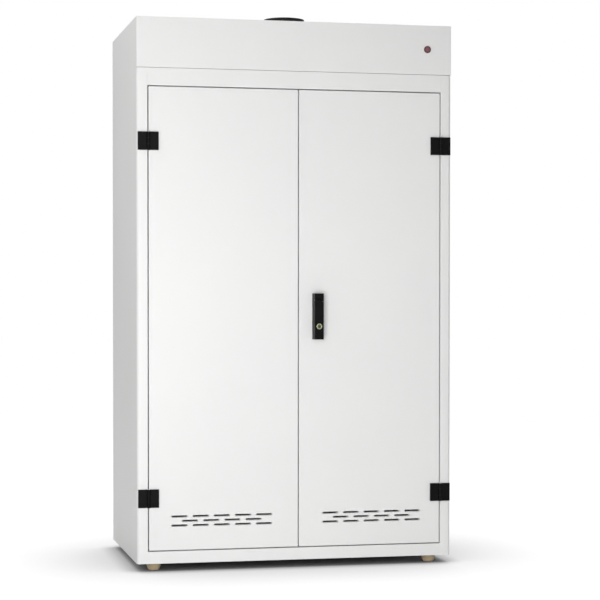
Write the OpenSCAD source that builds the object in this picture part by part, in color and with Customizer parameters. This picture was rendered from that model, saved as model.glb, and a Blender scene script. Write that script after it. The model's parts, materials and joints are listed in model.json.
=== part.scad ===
// Ventilated two-door reagent cabinet, white powder-coated sheet steel.
// X is to the right seen from the front, Y is depth with the front at minus Y, Z is up.
// Modules draw with the body's front face at y = 0 and the floor at z = 0; set_in() shifts them
// so that the origin is the bottom centre of the bounding box.

/* [Cabinet body] */
// Outside width of the steel body
body_w = 1000; // [900:1:1100]
// Outside depth of the steel body, without handle and rear screw heads
body_d = 600; // [500:1:700]
// Height of the steel body, without feet and duct collar
body_h = 1674; // [1500:1:1900]
// Sheet thickness of the body
sheet_t = 1.5; // [1.2:0.1:2]
// Outer radius of the two front vertical corners below the header
corner_r = 10; // [5:0.5:14]
// Width of the post each side of the door opening
stile_w = 33.5; // [30:0.5:44]
// Depth from the front face to the door-stop lip
stop_depth = 22; // [21.6:0.1:26]
// Width of the door-stop lip behind the doors
lip_w = 17; // [12:0.5:20]
// Width of the rear and top flanges of the side panels
flange_w = 20; // [16:0.5:30]
// Height of the bottom rail, floor of the opening
rail_low_h = 37; // [34:0.5:60]
// Height of the head compartment, from its seam to the roof
header_h = 155.5; // [140:0.5:180]
// Height of the top rail, from the door opening to the header seam
top_rail_h = 53.5; // [44:0.5:70]
// Open seam under the header cover
header_seam = 1.2; // [0.5:0.1:1.5]
// Depth of the returns of the header cover
header_return = 14; // [12:0.5:20]
// Corner radius of the header cover
header_r = 2; // [1.8:0.1:4]

/* [Doors] */
// Door thickness
door_t = 20; // [18:0.1:20.5]
// Sheet thickness of the door skins
skin_t = 1.2; // [1:0.1:1.5]
// Gap round and between the doors
door_gap = 3.5; // [3:0.1:5]
// Place of the middle gap, from the centre of the cabinet
split_x = 6; // [-10:0.5:10]
// Corner radius of the doors
door_corner_r = 2.5; // [1:0.5:5]
// Corner radius of the door opening
opening_r = 2; // [1:0.5:8]
// Clearance between the closed doors and the gasket
gasket_clear = 0.3; // [0.3:0.1:1]
// Width of the box-section stiffener in each door
stiffener_w = 60; // [40:1:90]

/* [Vent slots] */
// Length of one vent slot
vent_l = 51; // [40:1:56]
// Height of one vent slot
vent_h = 7; // [4:0.5:9]
// Slot spacing along a row
vent_pitch = 66.5; // [62:0.5:70]
// Spacing between rows
vent_row = 14; // [11:0.5:18]
// How far the slots sit outward from the middle of a door
vent_off = 6.5; // [0:0.5:12]
// Height of the middle row above the underside of the body
vent_z = 129.5; // [110:0.5:150]

/* [Hinges] */
// Width of one hinge leaf
leaf_w = 32; // [28:0.5:33.5]
// Height of a hinge
hinge_h = 56; // [48:1:66]
// Thickness of the hinge leaves, which is also how far the pin sits in front of the doors
leaf_t = 6; // [5:0.1:8]
// Radius of the hinge knuckle
knuckle_r = 5.5; // [4.8:0.1:6]
// Room round a knuckle in the other leaf
knuckle_clear = 0.8; // [0.6:0.1:1.2]
// Radius of the hinge pin
hinge_pin_r = 2.5; // [2:0.1:3]
// Running clearance of the pins, each side
pin_fit = 0.05; // [0.02:0.01:0.1]
// Gap between two knuckles
knuckle_gap = 0.3; // [0.2:0.1:0.6]
// Centre of the lower hinges above the underside of the body
hinge_low_z = 201; // [170:1:260]
// Centre of the upper hinges below the top of the door opening
hinge_high_down = 170; // [140:1:260]

/* [Lock] */
// Width of the lock case and lever
lock_w = 28.5; // [27:0.5:34]
// Height of the lock case
lock_h = 143; // [135:1:165]
// Place of the lock from the centre of the cabinet
lock_x = 64; // [62:0.5:90]
// Underside of the lock above the underside of the body
lock_z = 687; // [600:1:800]
// How far the lever stands in front of the doors
lock_out = 37; // [35:0.5:42]
// Thickness of the lock base
lock_base_t = 14; // [10:0.5:15]
// Height of the turning head above the lever
head_h = 26; // [24:0.5:30]
// Gap between lever, head and base
lever_gap = 0.3; // [0.2:0.1:0.6]
// Radius of the lock spindle
spindle_r = 5; // [4:0.1:6]
// Radius of the lever pin
lever_pin_r = 1.5; // [1.2:0.1:1.8]
// Centre of the key cylinder above the underside of the lock
key_up = 40.5; // [30:0.5:60]
// Radius of the key cylinder
key_r = 9; // [8:0.1:10]
// Radius of the turning key plug
plug_r = 5.5; // [4.5:0.1:6.5]
// How far the key cylinder stands out of the lever
key_out = 1; // [0.5:0.1:2]
// Radius of the locking rods
rod_r = 4; // [3:0.1:4.5]
// Side offset of each rod from the spindle
rod_off = 13; // [12.8:0.1:15]
// Running clearance of sliding and turning lock parts, each side
slide_fit = 0.08; // [0.03:0.01:0.1]
// Travel of the locking rods
rod_travel = 18; // [14:0.5:20]

/* [Door bolts] */
// Radius of the two bolts inside the left door
bolt_r = 4; // [3:0.1:4.5]
// Distance of the bolts from the free edge of the left door
bolt_in = 32; // [24:1:60]
// Travel of the bolts
bolt_travel = 16; // [12:0.5:18]
// Height of a bolt housing
bolt_case_h = 58; // [54:1:75]

/* [Switch] */
// Place of the switch from the centre of the cabinet
switch_x = 422; // [380:1:440]
// Height of the switch above the header seam
switch_up = 80; // [50:1:90]
// Radius of the switch bezel
bezel_r = 11.25; // [11:0.05:13]
// How far the bezel stands out
bezel_out = 2.5; // [1.5:0.1:4]
// Radius of the switch button
button_r = 8.3; // [7:0.1:8.6]
// Travel of the button
button_travel = 2; // [1:0.1:3]

/* [Fan and duct] */
// Outer radius of the duct collar
collar_r = 65; // [55:0.5:75]
// Height of the duct collar above the roof
collar_h = 30; // [27:0.5:50]
// Wall of the collar
collar_t = 2.5; // [2:0.1:4]
// Centre of the collar behind the front face
collar_y = 190; // [160:1:260]
// Length of the fan housing below the roof
fan_len = 70; // [66:1:90]
// Wall of the fan housing
fan_t = 3; // [2:0.5:5]
// Width of the flanges round the collar and the fan housing
duct_flange = 16; // [10:1:25]
// Radius of the fan motor
motor_r = 25; // [22:0.5:30]
// Length of the fan motor
motor_l = 30; // [28:1:36]
// Radius of the fan hub
hub_r = 22; // [18:0.5:25]
// Length of the fan hub
hub_l = 22; // [18:0.5:24]
// Width of a fan blade from edge to edge
blade_w = 26; // [20:0.5:30]
// Radial gap between fan blades and fan housing
blade_gap = 3; // [1.5:0.1:5]
// Number of fan blades
blades = 7; // [5:1:9]

/* [Electrics] */
// Place of the cable gland from the centre of the cabinet
gland_x = 280; // [200:5:330]
// Centre of the cable gland in from the back of the body
gland_in = 100; // [60:5:150]
// Width of the terminal box
term_w = 100; // [80:5:140]
// Depth of the terminal box
term_d = 70; // [50:5:90]
// Height of the terminal box
term_h = 50; // [40:5:70]
// Distance of the terminal box in front of the gland's centre
term_off = 50; // [30:5:80]
// Radius of the two inner leads
lead_r = 3; // [2:0.5:4]
// How far the leads run straight out of the terminal box before they turn
lead_out = 100; // [60:5:150]

/* [Inside fittings] */
// Distance of the shelf uprights in from the front and the back of the body
upright_in = 110; // [90:1:150]
// How far the shelf uprights stand out from the side wall
upright_d = 12; // [8:0.5:20]
// Sheet thickness of the shelf trays and the spill tray
tray_t = 1.2; // [1:0.1:1.5]
// Front edge of the shelf trays behind the front face
shelf_front = 55; // [50:1:80]
// Rear edge of all trays in front of the back of the body
tray_rear = 25; // [15:1:60]
// Distance of the spill tray in from the sides of the body
spill_in = 30; // [22:1:60]
// Front edge of the spill tray behind the front face
spill_front = 48; // [44:1:70]
// How far a shelf clip reaches under the shelf
clip_l = 18; // [12:1:30]
// Slot on which the lower shelf hangs, counted from the floor
shelf_slot_1 = 6; // [5:1:8]
// Slot on which the middle shelf hangs
shelf_slot_2 = 13; // [11:1:15]
// Slot on which the upper shelf hangs
shelf_slot_3 = 20; // [18:1:22]
// Spacing of the slots in the uprights
slot_pitch = 50; // [45:1:52]
// Height of the raised rim of the shelf trays
shelf_rim = 35; // [20:1:60]
// Height of the rim of the spill tray
spill_rim = 45; // [30:1:80]

/* [Feet] */
// Height of the feet
foot_h = 25; // [15:0.5:40]
// Radius of a foot at the top
foot_top_r = 25; // [20:0.5:32]
// Radius of a foot on the floor
foot_low_r = 17; // [12:0.5:24]
// Distance of the foot centres in from the side of the body
foot_in_x = 58; // [45:1:120]
// Distance of the foot centres in from front and back of the body
foot_in_y = 50; // [48:1:110]

/* [Hidden] */
$fn = 48;
header_z = body_h - header_h;          // header seam above the underside of the body
opening_top = header_z - top_rail_h;   // top of the door opening, likewise
hinge_high_z = opening_top - hinge_high_down;
hw = body_w / 2;                       // half the width
bz = foot_h;                           // underside of the body
tz = foot_h + body_h;                  // top of the roof
hz = foot_h + header_z;                // header seam
screw_head = 2.4;                      // height of the pan heads
front_out = lock_out + key_out;        // front-most point is the key cylinder
mid_y = (body_d + screw_head - front_out) / 2;
ox = hw - stile_w;                     // half width of the door opening
z_low = bz + rail_low_h;               // bottom of the door opening
z_high = bz + opening_top;             // top of the door opening
deck_z = z_low;                        // top of the inner floor
ceil_z = hz + sheet_t;                 // top of the inner ceiling
hinge_x = ox - door_gap / 2;           // pin lines, in the middle of the side gaps
door_x = ox - door_gap;                // outer edges of the doors
dz0 = z_low + door_gap;                // door bottom
dz1 = z_high - door_gap;               // door top
lz0 = bz + lock_z;                     // lock underside
lz1 = lz0 + lock_h;                    // lock top
seam_z = lz1 - head_h;                 // between head and lever
hub_z = lz1 - head_h / 2;              // spindle centre
pin_y = -(lock_out - 5);               // lever pin
pin_z = seam_z + 5;
key_z = lz0 + key_up;
rod_in = rod_travel + 4;               // how far the resting rods run past the spindle
bolt_x = split_x - door_gap / 2 - bolt_in;
bolt_y = stop_depth + sheet_t + 1 + bolt_r;
bolt_low_z = z_low + lip_w + 4;        // resting tips of the bolts
bolt_high_z = z_high - lip_w - 4;
sw_z = hz + switch_up;
fan_z = tz - sheet_t;                  // underside of the roof
shaft_r = 3;                           // fan shaft
bore_r = collar_r - collar_t;          // free radius of the duct
up_x = hw - sheet_t - upright_d;       // inner face of the shelf uprights
up_y1 = upright_in;
up_y2 = body_d - upright_in;
strip_top = hz - 25;                   // top of the shelf uprights
slot_z = deck_z + 40;                  // first slot
slots = floor((strip_top - 70 - slot_z) / slot_pitch) + 1;
gland_y = body_d - gland_in;

function arc(cx, cy, r, a0, a1, n) =
    [for (i = [0:n]) [cx + r * cos(a0 + (a1 - a0) * i / n), cy + r * sin(a0 + (a1 - a0) * i / n)]];
function round_rect(x0, y0, x1, y1, r, n) = concat(
    arc(x0 + r, y0 + r, r, 180, 270, n), arc(x1 - r, y0 + r, r, 270, 360, n),
    arc(x1 - r, y1 - r, r, 0, 90, n), arc(x0 + r, y1 - r, r, 90, 180, n));

module set_in() translate([0, -mid_y, 0]) children();
module box(a, b) translate(a) cube(b - a);
// A flat plate standing upright: the outline is drawn in x and z, thickness from y0 to y1
module upright_plate(y0, y1) translate([0, y1, 0]) rotate([90, 0, 0]) linear_extrude(y1 - y0) children();
// A round bar along y, from y0 to y1
module bar_y(x, z, r, y0, y1) translate([x, y0, z]) rotate([-90, 0, 0]) cylinder(r = r, h = y1 - y0);
module pan_screw_y(x, z, y_face, len) {
    bar_y(x, z, 4, y_face, y_face + screw_head);
    bar_y(x, z, 2.1, y_face - len, y_face);
}
module pan_screw_z(x, y, z_face, len) {
    translate([x, y, z_face]) cylinder(r = 4, h = screw_head);
    translate([x, y, z_face - len]) cylinder(r = 2.1, h = len);
}

// ---- body ----
back_screw_z = [for (i = [0:3]) bz + 60 + i * (body_h - 100) / 3];
roof_screw_y = [header_return + 50, body_d / 2, body_d - 60];

// Left panel in plan: side wall, front corner, post, return and door-stop lip, rear flange
module left_side_shape() {
    difference() {
        union() {
            translate([0, 0, bz]) linear_extrude(header_z) polygon(concat(
                [[-hw + flange_w, body_d], [-hw, body_d]],
                arc(-hw + corner_r, corner_r, corner_r, 180, 270, 8),
                [[-ox, 0], [-ox, stop_depth], [-ox + lip_w, stop_depth],
                 [-ox + lip_w, stop_depth + sheet_t], [-ox - sheet_t, stop_depth + sheet_t],
                 [-ox - sheet_t, sheet_t]],
                arc(-hw + corner_r, corner_r, corner_r - sheet_t, 270, 180, 8),
                [[-hw + sheet_t, body_d - sheet_t], [-hw + flange_w, body_d - sheet_t]]));
            translate([0, 0, hz]) linear_extrude(tz - sheet_t - hz) polygon([
                [-hw, header_return], [-hw + sheet_t, header_return],
                [-hw + sheet_t, body_d - sheet_t], [-hw + flange_w, body_d - sheet_t],
                [-hw + flange_w, body_d], [-hw, body_d]]);
            box([-hw, header_return, tz - 2 * sheet_t], [-hw + flange_w, body_d, tz - sheet_t]);
        }
        for (z = back_screw_z) bar_y(-hw + flange_w / 2, z, 2.3, body_d - 4, body_d + 1);
        for (y = roof_screw_y) translate([-hw + flange_w / 2, y, tz - 6]) cylinder(r = 2.3, h = 8);
        for (z = [hinge_low_z, hinge_high_z], s = [-1, 1])
            bar_y(-hinge_x - 15, bz + z + s * 16, 2.7, -1, sheet_t + 1);
    }
}
module left_side_panel() color("white") set_in() left_side_shape();
module right_side_panel() color("white") set_in() mirror([1, 0, 0]) left_side_shape();

module back_panel() color("white") set_in() difference() {
    box([-hw + sheet_t, body_d - 2 * sheet_t, bz + sheet_t],
        [hw - sheet_t, body_d - sheet_t, tz - 2 * sheet_t]);
    for (s = [-1, 1], z = back_screw_z)
        bar_y(s * (hw - flange_w / 2), z, 2.3, body_d - 6, body_d);
}
module base_panel() color("white") set_in() difference() {
    box([-hw + sheet_t, stop_depth + sheet_t, bz], [hw - sheet_t, body_d - sheet_t, bz + sheet_t]);
    foot_places() translate([0, 0, bz - 1]) cylinder(r = 5.3, h = sheet_t + 2);
}
// Raised inner floor: a sheet with four sides folded down to the base
module floor_panel() color("white") set_in() difference() {
    box([-hw + sheet_t, stop_depth + sheet_t, bz + sheet_t],
        [hw - sheet_t, body_d - 2 * sheet_t, deck_z]);
    box([-hw + 2 * sheet_t, stop_depth + 2 * sheet_t, bz],
        [hw - 2 * sheet_t, body_d - 3 * sheet_t, deck_z - sheet_t]);
}
module ceiling_panel() color("white") set_in() difference() {
    box([-hw + sheet_t, header_return + 0.5, hz], [hw - sheet_t, body_d - 2 * sheet_t, ceil_z]);
    translate([0, collar_y, hz - 1]) cylinder(r = bore_r, h = sheet_t + 2);
}
module roof_panel() color("white") set_in() difference() {
    box([-hw, header_return, tz - sheet_t], [hw, body_d, tz]);
    translate([0, collar_y, tz - 4]) cylinder(r = bore_r, h = 8);
    translate([gland_x, gland_y, tz - 4]) cylinder(r = 10.1, h = 8);
    for (s = [-1, 1], y = roof_screw_y)
        translate([s * (hw - flange_w / 2), y, tz - 4]) cylinder(r = 2.3, h = 8);
}
// Plain front cover of the head compartment, returns at both sides, top and bottom
module header_cover() color("white") set_in() difference() {
    translate([0, 0, hz + header_seam]) linear_extrude(tz - hz - header_seam) polygon(concat(
        [[-hw, header_return]], arc(-hw + header_r, header_r, header_r, 180, 270, 4),
        arc(hw - header_r, header_r, header_r, 270, 360, 4), [[hw, header_return]]));
    box([-hw + sheet_t, sheet_t, hz + header_seam + sheet_t],
        [hw - sheet_t, header_return + 1, tz - sheet_t]);
    bar_y(switch_x, sw_z, 10.1, -1, sheet_t + 1);
}
// Concave corner of the opening, drawn at the lower left and 1 mm into the rail's plate
module opening_corner() polygon(concat([[-ox, z_low - 1], [-ox + opening_r, z_low - 1]],
    arc(-ox + opening_r, z_low + opening_r, opening_r, 270, 180, 4)));
module both_sides() { children(); mirror([1, 0, 0]) children(); }

module bottom_rail() color("white") set_in() difference() {
    union() {
        box([-ox, 0, bz], [ox, sheet_t, z_low]);
        box([-ox, 0, z_low - sheet_t], [ox, stop_depth, z_low]);
        box([-ox + lip_w, stop_depth, z_low - sheet_t],
            [ox - lip_w, stop_depth + sheet_t, z_low + lip_w]);
        box([-ox, 0, bz], [ox, stop_depth, bz + sheet_t]);
        upright_plate(0, sheet_t) both_sides() opening_corner();
    }
    translate([lock_x - rod_off, door_t / 2, z_low - 4]) cylinder(r = rod_r + 1.2, h = 8);
}
module top_rail() color("white") set_in() difference() {
    union() {
        box([-ox, 0, z_high], [ox, sheet_t, hz]);
        box([-ox, 0, z_high], [ox, stop_depth, z_high + sheet_t]);
        box([-ox + lip_w, stop_depth, z_high - lip_w],
            [ox - lip_w, stop_depth + sheet_t, z_high + sheet_t]);
        box([-ox, 0, hz - sheet_t], [ox, stop_depth, hz]);
        upright_plate(0, sheet_t) both_sides()
            translate([0, z_low + z_high]) mirror([0, 1]) opening_corner();
    }
    translate([lock_x + rod_off, door_t / 2, z_high - 4]) cylinder(r = rod_r + 1.2, h = 8);
}
module door_gasket() color("dimgray") set_in() upright_plate(door_t + gasket_clear, stop_depth)
    difference() {
        polygon([[-ox + 1, z_low + 1], [ox - 1, z_low + 1], [ox - 1, z_high - 1], [-ox + 1, z_high - 1]]);
        polygon([[-ox + lip_w - 2, z_low + lip_w - 2], [ox - lip_w + 2, z_low + lip_w - 2],
                 [ox - lip_w + 2, z_high - lip_w + 2], [-ox + lip_w - 2, z_high - lip_w + 2]]);
    }

// ---- doors ----
module slot_shape(x, z) polygon(concat(
    arc(x + vent_l / 2 - vent_h / 2, z, vent_h / 2, -90, 90, 6),
    arc(x - vent_l / 2 + vent_h / 2, z, vent_h / 2, 90, 270, 6)));
module vent_slots(cx) {
    for (i = [-2:2], s = [-1, 1]) slot_shape(cx + i * vent_pitch, bz + vent_z + s * vent_row);
    for (i = [-1.5:1:1.5]) slot_shape(cx + i * vent_pitch, bz + vent_z);
}
// Outer skin folded back on all four edges to the full thickness of the door
module door_skin(x0, x1, vent_x) difference() {
    upright_plate(0, door_t) polygon(round_rect(x0, dz0, x1, dz1, door_corner_r, 4));
    box([x0 + skin_t, skin_t, dz0 + skin_t], [x1 - skin_t, door_t + 1, dz1 - skin_t]);
    upright_plate(-1, skin_t + 1) vent_slots(vent_x);
}
module door_liner(x0, x1, vent_x) difference() {
    box([x0 + skin_t, door_t - skin_t, dz0 + skin_t], [x1 - skin_t, door_t, dz1 - skin_t]);
    upright_plate(door_t - skin_t - 1, door_t + 1) vent_slots(vent_x);
}
module door_stiffener(x0, x1) {
    xm = (x0 + x1) / 2;
    difference() {
        box([xm - stiffener_w / 2, skin_t, bz + vent_z + 60],
            [xm + stiffener_w / 2, door_t - skin_t, dz1 - 30]);
        box([xm - stiffener_w / 2 + 1.2, skin_t + 1.2, bz + vent_z + 50],
            [xm + stiffener_w / 2 - 1.2, door_t, dz1 - 20]);
    }
}
module leaf_holes(x, y0, y1) for (z = [hinge_low_z, hinge_high_z], s = [-1, 1])
    bar_y(x, bz + z + s * 16, 2.7, y0, y1);
lx0 = -door_x;
lx1 = split_x - door_gap / 2;
rx0 = split_x + door_gap / 2;
rx1 = door_x;
lv = (lx0 + lx1) / 2 - vent_off;          // middle of the slots in each door
rv = (rx0 + rx1) / 2 + vent_off;
module left_door_skin() color("white") set_in() difference() {
    door_skin(lx0, lx1, lv);
    leaf_holes(-hinge_x + 15, -1, skin_t + 1);
}
module left_door_liner() color("white") set_in() door_liner(lx0, lx1, lv);
module left_door_stiffener() color("silver") set_in() door_stiffener(lx0, lx1);
module right_door_skin() color("white") set_in() difference() {
    door_skin(rx0, rx1, rv);
    leaf_holes(hinge_x - 15, -1, skin_t + 1);
    bar_y(lock_x, hub_z, spindle_r + 1.5, -1, skin_t + 1);
    for (z = [lz0 + 14, lz0 + 70]) bar_y(lock_x, z, 2.3, -1, skin_t + 1);
    translate([lock_x + rod_off, door_t / 2, dz1 - 3]) cylinder(r = rod_r + 0.6, h = 6);
    translate([lock_x - rod_off, door_t / 2, dz0 - 3]) cylinder(r = rod_r + 0.6, h = 6);
}
module right_door_liner() color("white") set_in() door_liner(rx0, rx1, rv);
module right_door_stiffener() color("silver") set_in() door_stiffener(rx0, rx1);

// ---- hinges, drawn for the left side with the pin at x = -hinge_x ----
third = hinge_h / 3;
module frame_leaf() difference() {
    union() {
        box([-leaf_w, 0, 0], [-0.6, leaf_t, hinge_h]);
        cylinder(r = knuckle_r, h = third - knuckle_gap / 2);
        translate([0, 0, 2 * third + knuckle_gap / 2]) cylinder(r = knuckle_r, h = third - knuckle_gap / 2);
    }
    translate([0, 0, third - knuckle_gap / 2])
        cylinder(r = knuckle_r + knuckle_clear, h = third + knuckle_gap);
    translate([0, 0, -1]) cylinder(r = hinge_pin_r + pin_fit, h = hinge_h + 2);
    for (s = [-1, 1]) bar_y(-15, hinge_h / 2 + s * 16, 2.2, leaf_t - 4.5, leaf_t + 1);
}
module door_leaf() difference() {
    union() {
        difference() {
            box([0.6, 0, 0], [leaf_w, leaf_t, hinge_h]);
            translate([0, 0, -1]) cylinder(r = knuckle_r + knuckle_clear, h = third + 1 + knuckle_gap / 2);
            translate([0, 0, 2 * third - knuckle_gap / 2])
                cylinder(r = knuckle_r + knuckle_clear, h = third + 2);
        }
        translate([0, 0, third + knuckle_gap / 2]) cylinder(r = knuckle_r, h = third - knuckle_gap);
    }
    translate([0, 0, -1]) cylinder(r = hinge_pin_r + pin_fit, h = hinge_h + 2);
    for (s = [-1, 1]) bar_y(15, hinge_h / 2 + s * 16, 2.2, leaf_t - 4.5, leaf_t + 1);
}
module hinge_pin() {
    cylinder(r = hinge_pin_r, h = hinge_h + 0.2);
    translate([0, 0, hinge_h]) cylinder(r = knuckle_r - 0.8, h = 1.5);
}
module at_left_hinges() for (z = [hinge_low_z, hinge_high_z])
    translate([-hinge_x, -leaf_t, bz + z - hinge_h / 2]) children();
module hinge_screw(x, y_in) {
    bar_y(x, 0, 4, y_in, y_in + screw_head);
    bar_y(x, 0, 2.1, -4, y_in);
}
module hinge_screw_rows(x, y_in) for (z = [hinge_low_z, hinge_high_z], s = [-1, 1])
    translate([0, 0, bz + z + s * 16]) hinge_screw(x, y_in);
module left_frame_leaves() color("#1c1c1e") set_in() at_left_hinges() frame_leaf();
module right_frame_leaves() color("#1c1c1e") set_in() mirror([1, 0, 0]) at_left_hinges() frame_leaf();
module left_door_leaves() color("#1c1c1e") set_in() at_left_hinges() door_leaf();
module right_door_leaves() color("#1c1c1e") set_in() mirror([1, 0, 0]) at_left_hinges() door_leaf();
module hinge_pins() color("silver") set_in() both_sides() at_left_hinges() hinge_pin();
module frame_hinge_screws() color("silver") set_in() both_sides()
    hinge_screw_rows(-hinge_x - 15, sheet_t);
module left_hinge_screws() color("silver") set_in() hinge_screw_rows(-hinge_x + 15, skin_t);
module right_hinge_screws() color("silver") set_in() hinge_screw_rows(hinge_x - 15, skin_t);

// ---- lock in the right door ----
module lock_base() color("#1c1c1e") set_in() difference() {
    box([lock_x - lock_w / 2, -lock_base_t, lz0], [lock_x + lock_w / 2, 0, lz1]);
    bar_y(lock_x, hub_z, spindle_r + slide_fit, -lock_base_t - 1, 1);
    for (z = [lz0 + 14, lz0 + 70]) bar_y(lock_x, z, 2.2, -7, 1);
    // Finger recess behind the lever
    box([lock_x - lock_w / 2 + 4, -lock_base_t - 1, lz0 + 22],
        [lock_x + lock_w / 2 - 4, -lock_base_t + 4, seam_z - 8]);
}
module lock_gearbox() color("silver") set_in() difference() {
    box([lock_x - 24, skin_t, hub_z - 30], [lock_x + 24, door_t - skin_t, hub_z + 30]);
    box([lock_x - 22.5, skin_t + 1.5, hub_z - 28.5], [lock_x + 22.5, door_t - skin_t - 1.5, hub_z + 28.5]);
    bar_y(lock_x, hub_z, spindle_r + 1, 0, skin_t + 2);
    translate([lock_x + rod_off, door_t / 2, hub_z + 20]) cylinder(r = rod_r + 0.5, h = 15);
    translate([lock_x - rod_off, door_t / 2, hub_z - 35]) cylinder(r = rod_r + 0.5, h = 15);
}
back_y = -lock_base_t - lever_gap;     // back of head and lever
module lock_head() color("#1c1c1e") set_in() {
    difference() {
        box([lock_x - lock_w / 2, -lock_out, seam_z], [lock_x + lock_w / 2, back_y, lz1]);
        box([lock_x - 9.2, -lock_out - 1, seam_z - 1], [lock_x + 9.2, pin_y + 4.6, pin_z + 4.6]);
        translate([lock_x - 20, pin_y, pin_z]) rotate([0, 90, 0])
            cylinder(r = lever_pin_r + pin_fit, h = 40);
    }
    bar_y(lock_x, hub_z, spindle_r, back_y, door_t - skin_t - 2);
}
module lock_pinion() color("silver") set_in() difference() {
    bar_y(lock_x, hub_z, rod_off - rod_r - 0.4, door_t / 2 - 5, door_t / 2 + 5);
    bar_y(lock_x, hub_z, spindle_r + pin_fit, door_t / 2 - 6, door_t / 2 + 6);
}
module lock_lever() color("#1c1c1e") set_in() difference() {
    union() {
        difference() {
            box([lock_x - lock_w / 2, -lock_out, lz0], [lock_x + lock_w / 2, back_y, seam_z - lever_gap]);
            translate([lock_x - 20, pin_y, pin_z]) rotate([0, 90, 0]) cylinder(r = 7.4, h = 40);
        }
        box([lock_x - 9, pin_y - 4.2, seam_z - 8], [lock_x + 9, pin_y + 4.2, pin_z]);
        translate([lock_x - 9, pin_y, pin_z]) rotate([0, 90, 0]) cylinder(r = 4.2, h = 18);
    }
    translate([lock_x - 20, pin_y, pin_z]) rotate([0, 90, 0])
        cylinder(r = lever_pin_r + pin_fit, h = 40);
    bar_y(lock_x, key_z, key_r + pin_fit, -lock_out - 1, -lock_out + 19);
    // Hollow back above the key cylinder
    box([lock_x - lock_w / 2 + 3, back_y - 12, key_z + key_r + 5],
        [lock_x + lock_w / 2 - 3, back_y + 1, seam_z - 16]);
}
module lever_pin() color("silver") set_in() translate([lock_x - lock_w / 2, pin_y, pin_z])
    rotate([0, 90, 0]) cylinder(r = lever_pin_r, h = lock_w);
module key_cylinder() color("#b9a774") set_in() difference() {
    bar_y(lock_x, key_z, key_r, -front_out, -lock_out + 19);
    bar_y(lock_x, key_z, plug_r + slide_fit, -front_out - 1, -lock_out + 17.5);
}
module key_plug() color("#b9a774") set_in() difference() {
    bar_y(lock_x, key_z, plug_r, -front_out, -lock_out + 17.2);
    box([lock_x - 0.9, -front_out - 1, key_z - plug_r * 0.7],
        [lock_x + 0.9, -front_out + 13, key_z + plug_r * 0.7]);
}
module upper_rod() color("silver") set_in() translate([lock_x + rod_off, door_t / 2, hub_z - rod_in])
    cylinder(r = rod_r, h = dz1 - 0.5 - hub_z + rod_in);
module lower_rod() color("silver") set_in() translate([lock_x - rod_off, door_t / 2, dz0 + 0.5])
    cylinder(r = rod_r, h = hub_z + rod_in - dz0 - 0.5);
module rod_guide(x, z) difference() {
    box([x - 10, door_t / 2 - rod_r - 2, z - 8], [x + 10, door_t - skin_t, z + 8]);
    translate([x, door_t / 2, z - 9]) cylinder(r = rod_r + slide_fit, h = 18);
}
module rod_guides() color("dimgray") set_in() {
    rod_guide(lock_x + rod_off, dz1 - 180);
    rod_guide(lock_x - rod_off, dz0 + 180);
}
module lock_screws() color("silver") set_in() for (z = [lz0 + 14, lz0 + 70]) {
    bar_y(lock_x, z, 4, skin_t, skin_t + screw_head);
    bar_y(lock_x, z, 2.1, -6.5, skin_t);
}

// ---- bolts inside the left door, drawn for the bottom with the resting tip at z = 0 ----
module bolt_case() difference() {
    box([-12, door_t, 2], [12, bolt_y + bolt_r + 4, 2 + bolt_case_h]);
    translate([0, bolt_y, 0]) cylinder(r = bolt_r + slide_fit, h = bolt_case_h + 4);
    box([-2.8, bolt_y, 14], [2.8, bolt_y + bolt_r + 6, 14 + bolt_travel + 8]);
}
module bolt_pin() {
    translate([0, bolt_y, 0]) cylinder(r = bolt_r, h = 56);
    bar_y(0, 18 + bolt_travel, 2.4, bolt_y, bolt_y + bolt_r + 11);
}
module lower_bolt_case() color("silver") set_in() translate([bolt_x, 0, bolt_low_z]) bolt_case();
module lower_bolt() color("gray") set_in() translate([bolt_x, 0, bolt_low_z]) bolt_pin();
module upper_bolt_case() color("silver") set_in() translate([bolt_x, 0, bolt_high_z])
    mirror([0, 0, 1]) bolt_case();
module upper_bolt() color("gray") set_in() translate([bolt_x, 0, bolt_high_z])
    mirror([0, 0, 1]) bolt_pin();

// ---- switch in the header ----
switch_l = 22 + button_travel;         // depth of the switch behind the header
module switch_body() color("#2a1518") set_in() difference() {
    union() {
        bar_y(switch_x, sw_z, bezel_r, -bezel_out, 0);
        bar_y(switch_x, sw_z, 9.9, 0, switch_l);
    }
    bar_y(switch_x, sw_z, button_r + slide_fit, -bezel_out - 1, switch_l - 2);
}
module switch_button() color("#7d2a35") set_in() bar_y(switch_x, sw_z, button_r, -bezel_out - 0.5, 12);
module switch_nut() color("dimgray") set_in() difference() {
    bar_y(switch_x, sw_z, 13, sheet_t, sheet_t + 4);
    bar_y(switch_x, sw_z, 9.9 + pin_fit, 0, sheet_t + 5);
}

// ---- fan and duct ----
module duct_collar() color("#1c1c1e") set_in() translate([0, collar_y, tz]) difference() {
    union() {
        cylinder(r = collar_r, h = collar_h);
        cylinder(r = collar_r + duct_flange, h = 2);
    }
    translate([0, 0, -1]) cylinder(r = bore_r, h = collar_h + 2);
}
module fan_housing() color("#2b2b2e") set_in() translate([0, collar_y, fan_z]) {
    difference() {
        union() {
            translate([0, 0, -fan_len]) cylinder(r = bore_r + fan_t, h = fan_len);
            translate([0, 0, -2]) cylinder(r = bore_r + duct_flange, h = 2);
        }
        translate([0, 0, -fan_len - 1]) cylinder(r = bore_r, h = fan_len + 2);
    }
    difference() {
        union() {
            translate([0, 0, -fan_len]) cylinder(r = motor_r, h = motor_l);
            for (a = [30, 150, 270]) rotate([0, 0, a])
                box([motor_r - 5, -4, -fan_len], [bore_r + 1, 4, 5 - fan_len]);
        }
        translate([0, 0, 10 - fan_len]) cylinder(r = shaft_r + pin_fit, h = motor_l);
    }
}
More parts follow.
